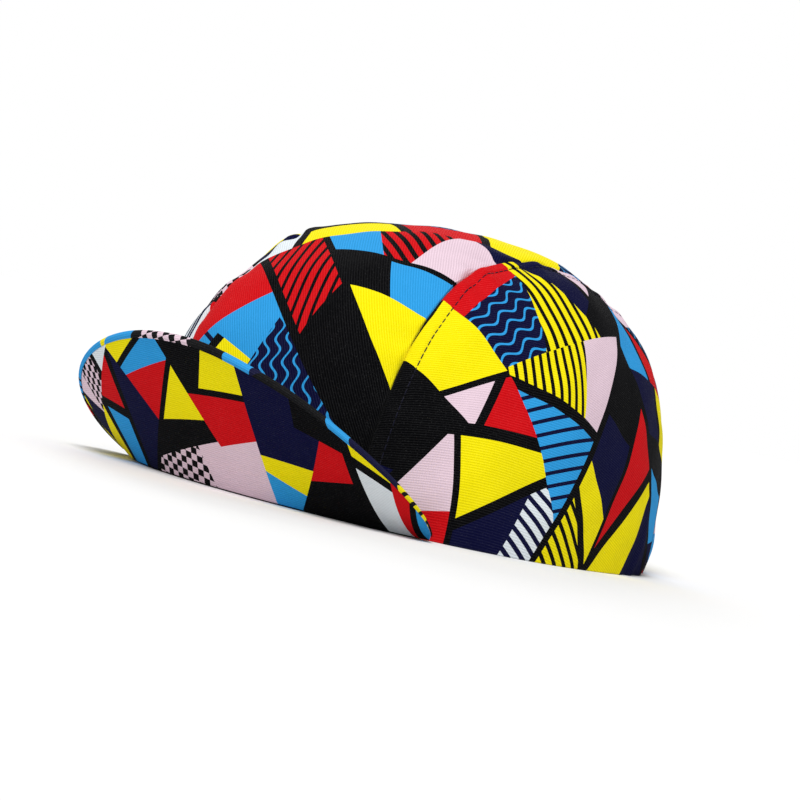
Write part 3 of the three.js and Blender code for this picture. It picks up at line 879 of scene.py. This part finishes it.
def cut(polygon, normal, offset):
    """The parts of a polygon on the far and the near side of a line."""
    parts = []
    for sign in (1, -1):
        kept = []
        for a, b in zip(polygon, polygon[1:] + polygon[:1]):
            da = sign * (a[0] * normal[0] + a[1] * normal[1] + offset)
            db = sign * (b[0] * normal[0] + b[1] * normal[1] + offset)
            if da >= 0:
                kept.append(a)
            if da * db < 0:
                share = da / (da - db)
                kept.append((lerp(a[0], b[0], share), lerp(a[1], b[1], share)))
        parts.append(kept)
    return parts


def area_and_middle(polygon):
    total = x = y = 0.0
    for a, b in zip(polygon, polygon[1:] + polygon[:1]):
        cross = a[0] * b[1] - b[0] * a[1]
        total += cross
        x += (a[0] + b[0]) * cross
        y += (a[1] + b[1]) * cross
    return abs(total) / 2, (x / (3 * total), y / (3 * total))


def longest_way(polygon, middle):
    """The angle in which a polygon is longest."""
    xx = sum((x - middle[0]) ** 2 for x, _ in polygon)
    yy = sum((y - middle[1]) ** 2 for _, y in polygon)
    xy = sum((x - middle[0]) * (y - middle[1]) for x, y in polygon)
    return 0.5 * math.atan2(2 * xy, xx - yy)


def pick(rng, weights):
    return rng.choices(list(weights), list(weights.values()))[0]


def shard_fill(s, place, area, rng, used):
    """The colour of one shard, plain or with a simple motif."""
    motif = pick(rng, MOTIFS)
    if area < SMALLEST_MOTIF:
        motif = "plain"
    turn = rng.uniform(0, 180)
    if motif == "stripes":
        ground, line = rng.choice(STRIPES)
        used.append(ground)
        count = s.lines(place, turn, rng.uniform(*STRIPE_PITCHES))
        return s.mix(s.is_line(count, rng.uniform(*STRIPE_SHARES)), PALETTE[ground], PALETTE[line])
    if motif == "checks":
        used.append("white")
        across, along = (s.is_line(s.lines(place, angle, CHECK_PITCH), 0.5) for angle in (turn, turn + 90))
        return s.mix(s.math("COMPARE", across, along, 0.5), PALETTE["pink"], PALETTE["black"])
    if motif == "waves":
        used.append("navy")
        run = s.math("SINE", s.math("MULTIPLY", s.lines(place, turn, 1.0), WAVE_RUN))
        count = s.math("MULTIPLY_ADD", run, WAVE_SWING, s.lines(place, turn + 90, WAVE_PITCH))
        return s.mix(s.is_line(count, WAVE_SHARE), PALETTE["navy"], PALETTE["sky"])
    name = pick(rng, {name: SHARD_COLOURS[name] for name in SHARD_COLOURS if name not in used[-RECENT:]})
    used.append(name)
    return PALETTE[name]


def shards(s, place, polygon, rng, used, target):
    """Divides a part of the cloth until its shards are small enough, and colours them."""
    area, middle = area_and_middle(polygon)
    if area < target * rng.uniform(*SHARD_SPREAD):
        return shard_fill(s, place, area, rng, used)
    across = longest_way(polygon, middle) + math.radians(rng.uniform(-CUT_TURN, CUT_TURN))
    reach = math.sqrt(area) * CUT_ASIDE
    x, y = middle[0] + rng.uniform(-reach, reach), middle[1] + rng.uniform(-reach, reach)
    normal = (math.cos(across), math.sin(across))
    offset = -(normal[0] * x + normal[1] * y)
    distance = s.dot(place, (*normal, offset))
    far, near = (shards(s, place, part, rng, used, target) for part in cut(polygon, normal, offset))
    colour = s.mix(s.math("GREATER_THAN", distance, 0.0), near, far)
    if rng.random() < OUTLINED:
        half = rng.choice(OUTLINE_WIDTHS) / 2
        colour = s.mix(s.math("LESS_THAN", s.math("ABSOLUTE", distance), half), colour, PALETTE["black"])
    return colour


def printed(reach, seed, target):
    """A print over a cloth that reaches from and to these places, with shards of about that area."""
    first, last, low, high = reach
    outline = [(first, low), (last, low), (last, high), (first, high)]
    return lambda s, place: shards(s, place, outline, random.Random(seed), [], target)


def plain(colour):
    return lambda s, place: colour


# The dressed pieces

def dress(obj, material, slot, *nodes):
    obj.data.materials.append(material)
    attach(obj, "root")
    if nodes:
        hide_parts(*nodes)


SIDE_REACH, STRIP_REACH, PEAK_REACH = (-98, 117, -41, 80), (-53, 53, 0, 321), (-120, 120, 0, 58)
PRINTS = [  # material, slot, solid that it replaces, reach and seed of the print, its shards' area, weave
    ("strip_print", "strip_print", "crown_centre", STRIP_REACH, 23, 700, (38, 0.88)),
    ("left_print", "side_print", "crown_left", SIDE_REACH, 24, 540, (105, 0.88)),
    ("right_print", "side_print", "crown_right", SIDE_REACH, 35, 540, (75, 0.88)),
    ("peak_under_print", "peak_under_print", "peak_under", PEAK_REACH, 53, 360, (88, 0.8)),
    ("peak_top_print", "peak_top_print", "peak_top", PEAK_REACH, 40, 360, (88, 0.8)),
]
BLACKS = [  # piece, material, colour, weave, bump, slot, solid that it replaces
    (lining, "lining_cloth", LINING_BLACK, (45, 0.6), PRINT_BUMP, "lining_cloth", "lining"),
    (sweatband, "band_cloth", BAND_BLACK, (0, 0.95), BAND_BUMP, "band_cloth", "sweatband"),
    (nape_elastic, "elastic_cloth", BAND_BLACK, (90, 0.7), BAND_BUMP, "elastic_cloth", "nape_elastic"),
    (rim_seam, "seam_cloth", BAND_BLACK, (0, 0.7), PRINT_BUMP, "band_cloth"),
]
THREAD_WEAVE = (45, 0.3)

printed_pieces = [centre_strip(), side_panel("crown_left_cloth", 1), side_panel("crown_right_cloth", -1),
                  peak_under(), peak_top()]
for piece, (name, slot, solid, reach, seed, area, weave) in zip(printed_pieces, PRINTS):
    dress(piece, cloth_shader(name, printed(reach, seed, area), weave), slot, solid)
for build, name, colour, weave, bump, slot, *solids in BLACKS:
    dress(build(), cloth_shader(name, plain(colour), weave, bump), slot, *solids)

thread = cloth_shader("thread", plain(NAVY_THREAD), THREAD_WEAVE, PRINT_BUMP, THREAD_ROUGHNESS, THREAD_SHEEN)
dark_thread = cloth_shader("dark_thread", plain(BLACK_THREAD), THREAD_WEAVE, PRINT_BUMP, THREAD_ROUGHNESS)
dress(stitches("seam_stitching", [topstitch(1), topstitch(-1)]), thread, "side_print")
band_lines = [stitch_line(math.pi - ELASTIC_HALF_ANGLE, lambda angle, line=line: band_height(angle) - line)
              for line in LINES_BELOW_TOP]
band_lines.append(stitch_line(math.pi, lambda angle: BAND_LIFT + LINE_ABOVE_RIM + 0 * angle))
dress(stitches("band_stitching", band_lines), dark_thread, "band_cloth")


# Floor, light and camera

FLOOR_RADIUS, FLOOR_SIDES = 6.0, 96
FLOOR_SHADE, FLOOR_MOTTLE, FLOOR_NOISE = 0.825, 0.01, (30.0, 2.0, 0.5)
FLOOR_ROUGHNESS, FLOOR_SPECULAR = 0.9, 0.1
WORLD_LIGHT, KEY_LIGHT, FILL_LIGHT = 0.5, 2.4, 0.8
KEY_PLACE, FILL_PLACE, KEY_SOFTNESS, FILL_SOFTNESS = (0.5, -1.1, 1.7), (-1.3, 1.1, 0.9), 24, 30
WHITE = (1, 1, 1, 1)


def make_floor():
    bpy.ops.mesh.primitive_circle_add(vertices=FLOOR_SIDES, radius=FLOOR_RADIUS, fill_type="NGON")
    floor = bpy.context.object
    floor.name = "studio_floor"
    s = Shader(bpy.data.materials.new("studio_floor"))
    mottle = s.noise(s.add("ShaderNodeTexCoord", {}, OBJECT_PLACE), *FLOOR_NOISE)
    colour = s.grey(s.math("MULTIPLY_ADD", mottle, FLOOR_MOTTLE, FLOOR_SHADE))
    floor.data.materials.append(s.finish({"Base Color": colour, "Roughness": FLOOR_ROUGHNESS,
                                          "Specular IOR Level": FLOOR_SPECULAR}))


def make_world():
    """Even light from all round, in front of a white background."""
    world = bpy.data.worlds.new("studio")
    bpy.context.scene.world = world
    s = Shader(world)
    seen_by_camera = s.add("ShaderNodeLightPath", {})
    light = s.add("ShaderNodeBackground", {"Color": WHITE, "Strength": WORLD_LIGHT})
    white = s.add("ShaderNodeBackground", {"Color": WHITE})
    mix = s.add("ShaderNodeMixShader", {0: seen_by_camera, 1: light, 2: white})
    s.add("ShaderNodeOutputWorld", {"Surface": mix})


def sun(name, place, strength, softness):
    """A large soft light far away in that direction."""
    data = bpy.data.lights.new(name, "SUN")
    data.energy = strength
    data.angle = math.radians(softness)
    obj = new_object(name, data)
    obj.location = place
    obj.rotation_mode = "QUATERNION"
    obj.rotation_quaternion = Vector(place).to_track_quat("Z", "Y")


AZIMUTH, ELEVATION, ROLL = 40.7, 1.0, 13.3
DISTANCE, FIRST_AIM_HEIGHT = 1.103, 0.05
IMAGE, FOCAL_PIXELS, SENSOR = 800, 3187, 36
PHOTO_MIDDLE = (372, 399)  # of the cap in the frame
AIM_ROUNDS, AIM_EVERY = 3, 23  # one vertex in so many is looked at
CLIP = 0.05, 50


def camera_axes():
    a, e, o = (math.radians(angle) for angle in (AZIMUTH, ELEVATION, ROLL))
    back = Vector((math.sin(a) * math.cos(e), -math.cos(a) * math.cos(e), math.sin(e)))
    right = Vector((math.cos(a), math.sin(a), 0))
    up = back.cross(right)
    return (math.cos(o) * right + math.sin(o) * up, -math.sin(o) * right + math.cos(o) * up, back)


def make_camera():
    """Round the cap and rolled as in the photo, and aimed so that the cap lies in the frame as there."""
    right, up, back = camera_axes()
    aim = Vector((0, MIDDLE_Y / MM_PER_METRE, FIRST_AIM_HEIGHT))
    points = [v.co for piece in printed_pieces[:-1] for v in piece.data.vertices]  # all but the peak's top
    for _ in range(AIM_ROUNDS):
        eye = aim + back * DISTANCE
        rays = [point - eye for point in points[::AIM_EVERY]]
        for axis, wanted in ((right, PHOTO_MIDDLE[0] - IMAGE / 2), (up, IMAGE / 2 - PHOTO_MIDDLE[1])):
            seen = [FOCAL_PIXELS * ray.dot(axis) / -ray.dot(back) for ray in rays]
            aim = aim + axis * (((max(seen) + min(seen)) / 2 - wanted) * DISTANCE / FOCAL_PIXELS)
    data = bpy.data.cameras.new("camera")
    data.sensor_width = SENSOR
    data.lens = SENSOR * FOCAL_PIXELS / IMAGE
    data.clip_start, data.clip_end = CLIP
    camera = new_object("camera", data)
    turned = Matrix((right, up, back)).transposed().to_4x4()
    camera.matrix_world = Matrix.Translation(aim + back * DISTANCE) @ turned
    bpy.context.scene.camera = camera


make_floor()
make_world()
bpy.context.scene.view_settings.view_transform = "Standard"
make_camera()
sun("key", KEY_PLACE, KEY_LIGHT, KEY_SOFTNESS)
sun("fill", FILL_PLACE, FILL_LIGHT, FILL_SOFTNESS)
